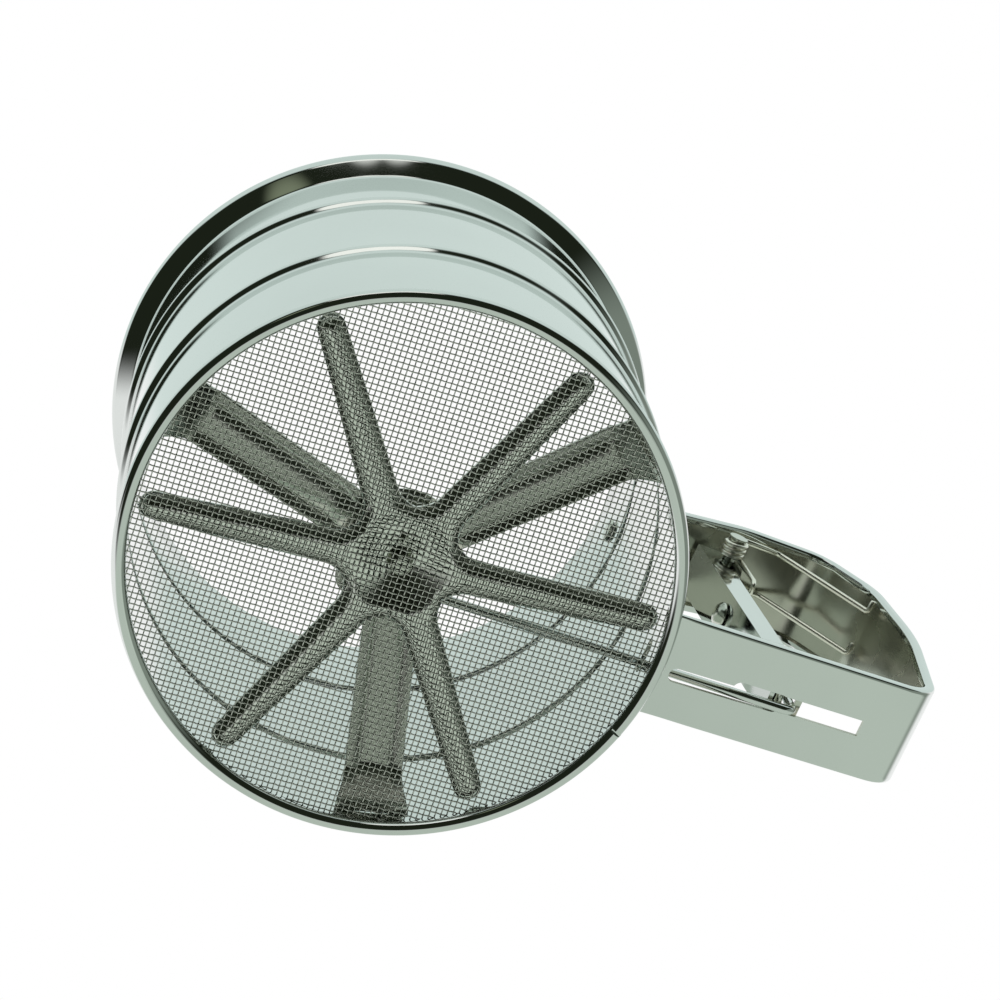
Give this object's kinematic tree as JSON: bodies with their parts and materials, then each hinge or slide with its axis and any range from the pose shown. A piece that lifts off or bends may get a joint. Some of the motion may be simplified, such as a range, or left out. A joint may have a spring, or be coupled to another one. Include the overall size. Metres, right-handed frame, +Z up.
{
  "type": "flour sifter",
  "caption": "Hand-squeezed metal flour sifter: a beaded cup over fine mesh, a loop handle with a sprung trigger, and a pull rod that turns a flat star agitator over the mesh.",
  "frame": {"origin": "middle of the box's base, level with the underside of the mesh ring", "axes": "+Z up along the cup's axis from the mesh end to the open mouth, +X from the cup towards the handle, +Y across the handle"},
  "size_m": [0.1579, 0.105, 0.094],
  "materials": {
    "polished_steel": "polished stainless or tinned steel sheet",
    "satin_steel": "satin",
    "mesh_wire": "fine woven wire",
    "bright_wire": "bright drawn wire"
  },
  "bodies": {
    "sifter": {"cup_body": "polished_steel", "mesh_ring": "polished_steel", "mesh_screen": "mesh_wire", "spider_bracket": "satin_steel", "handle_strip": "polished_steel", "handle_rivet": "satin_steel", "pivot_bracket": "satin_steel", "bracket_rivet": "satin_steel", "pivot_pin": "satin_steel", "pivot_clip": "satin_steel", "trigger_spring_outer": "bright_wire", "trigger_spring_inner": "bright_wire"},
    "trigger": {"trigger_lever": "polished_steel", "trigger_tongue": "satin_steel", "trigger_rivet": "satin_steel"},
    "rod": {"pull_rod": "polished_steel"},
    "rotor": {"agitator": "polished_steel", "agitator_shaft": "satin_steel", "crank_spacer": "satin_steel", "crank_plate": "satin_steel", "crank_peg": "satin_steel", "shaft_bush": "satin_steel", "shaft_washer": "satin_steel", "shaft_clip": "satin_steel"}
  },
  "joints": [
    {"name": "trigger_squeeze", "type": "hinge", "parent": "sifter", "child": "trigger", "pos_m": [0.04435, 0, 0.072], "axis": [0, -1, 0], "range_deg": [0, 10.4], "stiffness_Nm_per_rad": 1.2, "springref_deg": -14.32, "deforming": ["trigger_spring_outer", "trigger_spring_inner"]},
    {"name": "rod_slide", "type": "slide", "parent": "sifter", "child": "rod", "axis": [0.9979, -0.0649, 0], "range_m": [0, 0.0105]},
    {"name": "agitator_turn", "type": "hinge", "parent": "sifter", "child": "rotor", "pos_m": [-0.02645, 0, 0], "axis": [0, 0, -1], "range_deg": [0, 85]}
  ],
  "couplings": [
    {"joint": "rod_slide", "follows": "trigger_squeeze", "m_per_rad": 0.0577},
    {"joint": "agitator_turn", "follows": "trigger_squeeze", "ratio": 8.15}
  ]
}
